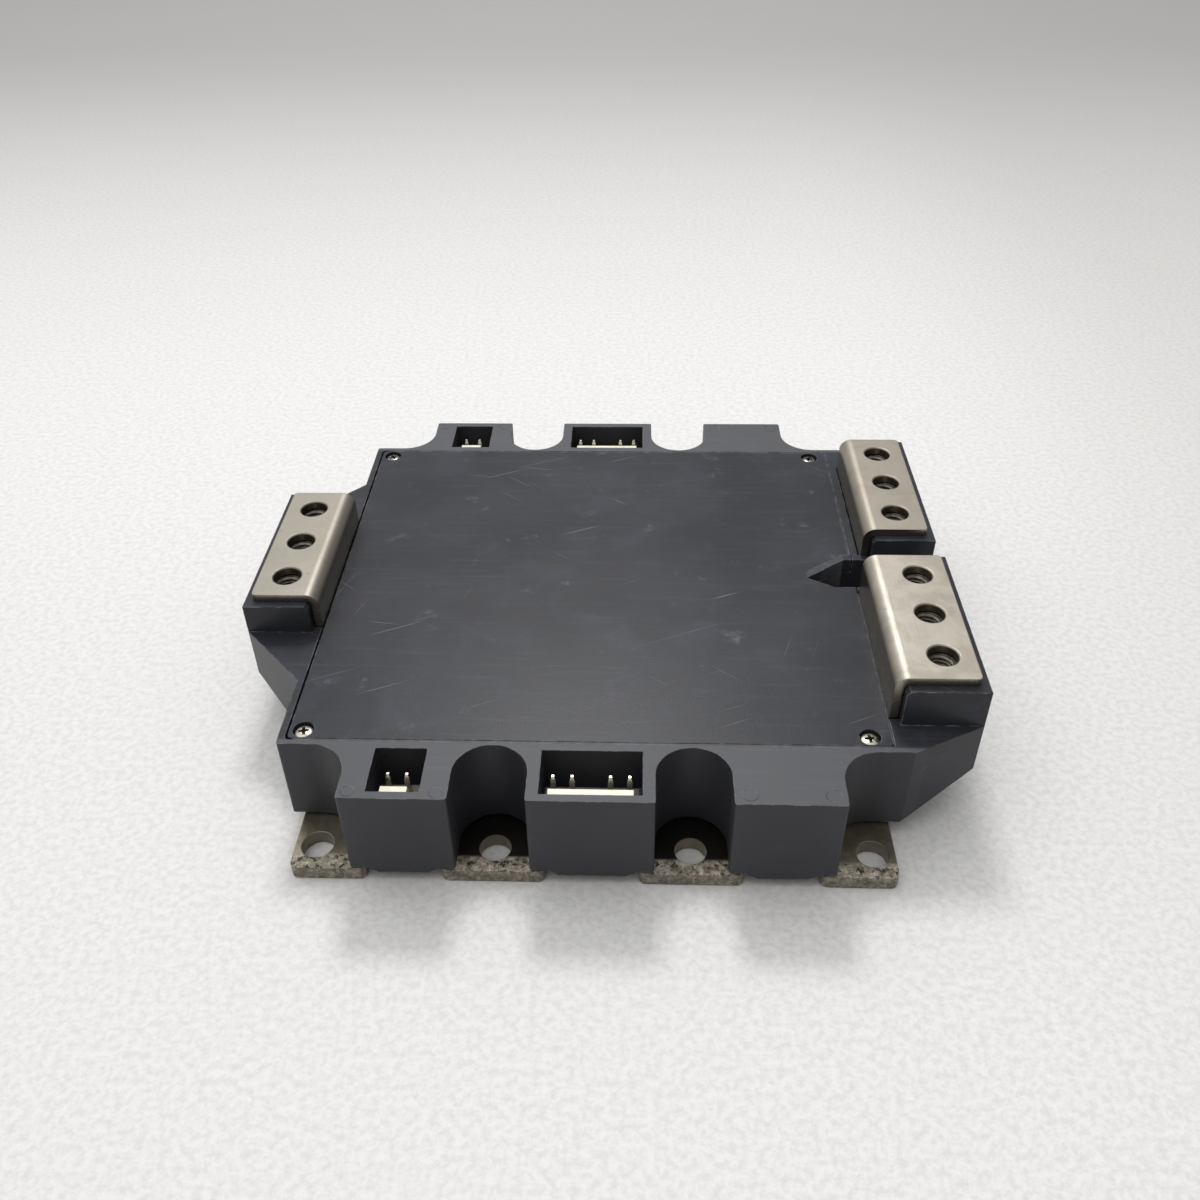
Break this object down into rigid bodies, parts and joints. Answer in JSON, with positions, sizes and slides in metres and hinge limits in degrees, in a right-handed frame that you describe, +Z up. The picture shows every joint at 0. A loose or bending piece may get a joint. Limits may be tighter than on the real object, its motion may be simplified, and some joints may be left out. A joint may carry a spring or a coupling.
{
  "type": "igbt power module",
  "caption": "Dual power transistor module: moulded case on a metal base plate, bent screw terminals at both ends and plug headers along the sides.",
  "frame": {"origin": "centre of the mounting face of the base plate", "axes": "+X towards the supply terminals, +Y towards the back, +Z up, away from the mounting face"},
  "size_m": [0.166, 0.15, 0.037],
  "materials": {
    "housing": "satin",
    "plate_metal": "tarnished",
    "seal": "matte",
    "terminal_metal": "satin",
    "screw_metal": "satin",
    "nut_metal": "satin",
    "header_plastic": "satin",
    "pin_metal": "bright",
    "board": "satin",
    "lead_metal": "satin",
    "ceramic": "satin",
    "copper": "satin",
    "silicon": "satin",
    "bond_wire": "satin"
  },
  "bodies": {
    "root": {"base_plate": "plate_metal", "case_seal": "seal", "case_frame": "housing", "lid": "housing", "lid_screws": "screw_metal", "terminal_positive": "terminal_metal", "terminal_negative": "terminal_metal", "terminal_output": "terminal_metal", "nuts_positive": "nut_metal", "nuts_negative": "nut_metal", "nuts_output": "nut_metal", "header_front_small": "header_plastic", "header_front_large": "header_plastic", "header_back_small": "header_plastic", "header_back_large": "header_plastic", "pins_front_small": "pin_metal", "pins_front_large": "pin_metal", "pins_back_small": "pin_metal", "pins_back_large": "pin_metal", "gate_board_front": "board", "gate_board_back": "board", "gate_leads_front": "lead_metal", "gate_leads_back": "lead_metal", "substrate_upper_left": "ceramic", "substrate_upper_right": "ceramic", "substrate_lower_left": "ceramic", "substrate_lower_right": "ceramic", "copper_upper_left": "copper", "copper_upper_right": "copper", "copper_lower_left": "copper", "copper_lower_right": "copper", "igbts_upper_left": "silicon", "igbts_upper_right": "silicon", "igbts_lower_left": "silicon", "igbts_lower_right": "silicon", "diodes_upper_left": "silicon", "diodes_upper_right": "silicon", "diodes_lower_left": "silicon", "diodes_lower_right": "silicon", "wires_upper_left": "bond_wire", "wires_upper_right": "bond_wire", "wires_lower_left": "bond_wire", "wires_lower_right": "bond_wire"}
  },
  "joints": []
}
